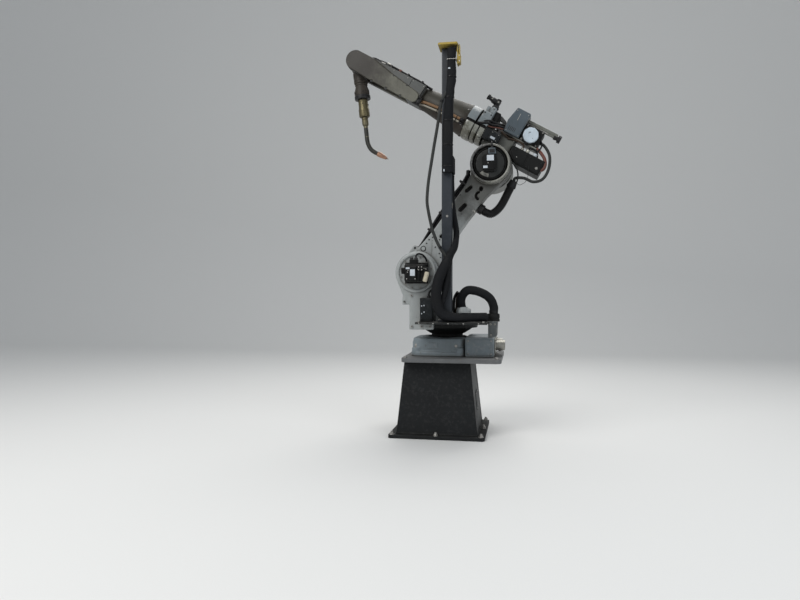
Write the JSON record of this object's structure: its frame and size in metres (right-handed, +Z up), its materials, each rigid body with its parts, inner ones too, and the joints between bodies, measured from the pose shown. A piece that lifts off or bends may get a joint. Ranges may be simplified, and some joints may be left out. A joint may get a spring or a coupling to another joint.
{
  "type": "arc welding robot arm on a pedestal",
  "caption": "Articulated arc welding robot arm with wire feeder, cable mast and bent-neck torch, on a tapered floor pedestal",
  "frame": {"origin": "centre of the waist axis on the floor, at the underside of the pedestal base plate", "axes": "+Z up along the waist axis, the arm reaches toward -X at rest, the side with the shoulder motor and the cable mast faces -Y"},
  "size_m": [1.3285, 0.77, 2.3815],
  "materials": {
    "charcoal_paint": "charcoal enamel, chipped",
    "plate_grey": "grey painted plate, worn",
    "blue_grey_paint": "blue-grey enamel",
    "light_grey_paint": "light grey enamel on castings",
    "dirty_grey_paint": "grey enamel browned by weld smoke",
    "feeder_paint": "dark blue-grey enamel",
    "tray_metal": "dark painted sheet",
    "motor_black": "black motor paint",
    "motor_dark_grey": "dark grey motor paint",
    "rubber_black": "black hose",
    "hose_grey": "dark grey hose",
    "plug_cream": "cream plastic",
    "clamp_yellow": "dull yellow paint",
    "collar_grey": "machined collar",
    "steel": "steel fittings",
    "white_plastic": "white cover",
    "brass_olive": "tarnished brass",
    "copper_tip": "copper, heat stained",
    "smoke_brown": "browned casting"
  },
  "bodies": {
    "base": {"pedestal_base_plate": "charcoal_paint", "pedestal_body": "charcoal_paint", "pedestal_top_plate": "plate_grey", "base_casting": "blue_grey_paint", "base_connector_box": "blue_grey_paint", "base_connectors": "steel"},
    "turret": {"turret_casting": "light_grey_paint", "cable_tray": "tray_metal", "tray_rear_bracket": "blue_grey_paint", "s_axis_motor": "motor_dark_grey", "shoulder_bracket": "light_grey_paint", "l_axis_motor": "motor_black", "l_motor_plug": "plug_cream", "mast_tube": "blue_grey_paint", "mast_head_clamp": "clamp_yellow", "mast_sleeve": "rubber_black", "mast_hose": "rubber_black", "harness_loop": "rubber_black"},
    "lower_arm": {"lower_arm_casting": "light_grey_paint", "u_axis_collar": "collar_grey", "u_axis_motor": "motor_black", "conduit_gland": "rubber_black", "elbow_conduit": "rubber_black", "conduit_cuff": "rubber_black"},
    "upper_arm": {"elbow_casting": "light_grey_paint", "r_axis_housing": "light_grey_paint", "r_axis_motor": "motor_dark_grey", "top_hose_fitting": "motor_black", "feeder_bracket": "steel", "wire_feeder_box": "feeder_paint", "wire_feeder_drive": "motor_black", "wire_feeder_disc": "white_plastic", "wire_feeder_inlet": "steel", "rear_motor_box": "motor_black", "feeder_hose": "hose_grey"},
    "forearm": {"forearm_cone": "dirty_grey_paint", "forearm_yoke": "dirty_grey_paint", "forearm_near_beam": "dirty_grey_paint", "forearm_far_beam": "dirty_grey_paint", "forearm_cover": "dirty_grey_paint", "torch_cable": "rubber_black"},
    "wrist": {"wrist_housing": "smoke_brown"},
    "tool": {"tool_flange": "steel", "torch_mount": "smoke_brown", "torch_body": "brass_olive", "torch_neck": "brass_olive", "torch_tube": "steel", "torch_nozzle": "copper_tip"}
  },
  "joints": [
    {"name": "s_waist", "type": "hinge", "parent": "base", "child": "turret", "pos_m": [0, 0, 0.6123], "axis": [0, 0, 1], "range_deg": [-170, 170]},
    {"name": "l_shoulder", "type": "hinge", "parent": "turret", "child": "lower_arm", "pos_m": [-0.15, -0.2398, 0.985], "axis": [0, -1, 0], "range_deg": [-75.8, 110]},
    {"name": "u_elbow", "type": "hinge", "parent": "lower_arm", "child": "upper_arm", "pos_m": [0.27718, -0.1198, 1.61358], "axis": [0, 1, 0], "range_deg": [-80, 215], "deforming": ["feeder_hose"]},
    {"name": "r_forearm_roll", "type": "hinge", "parent": "upper_arm", "child": "forearm", "pos_m": [0.18169, 0, 1.89695], "axis": [-0.8712, 0, 0.4909], "range_deg": [-150, 150]},
    {"name": "b_wrist_bend", "type": "hinge", "parent": "forearm", "child": "wrist", "pos_m": [-0.56729, 0, 2.31898], "axis": [0, -1, 0], "range_deg": [-170.7, 24]},
    {"name": "t_torch_twist", "type": "hinge", "parent": "wrist", "child": "tool", "pos_m": [-0.55352, 0, 2.19424], "axis": [0.1097, 0, -0.994], "range_deg": [-200, 200]}
  ]
}
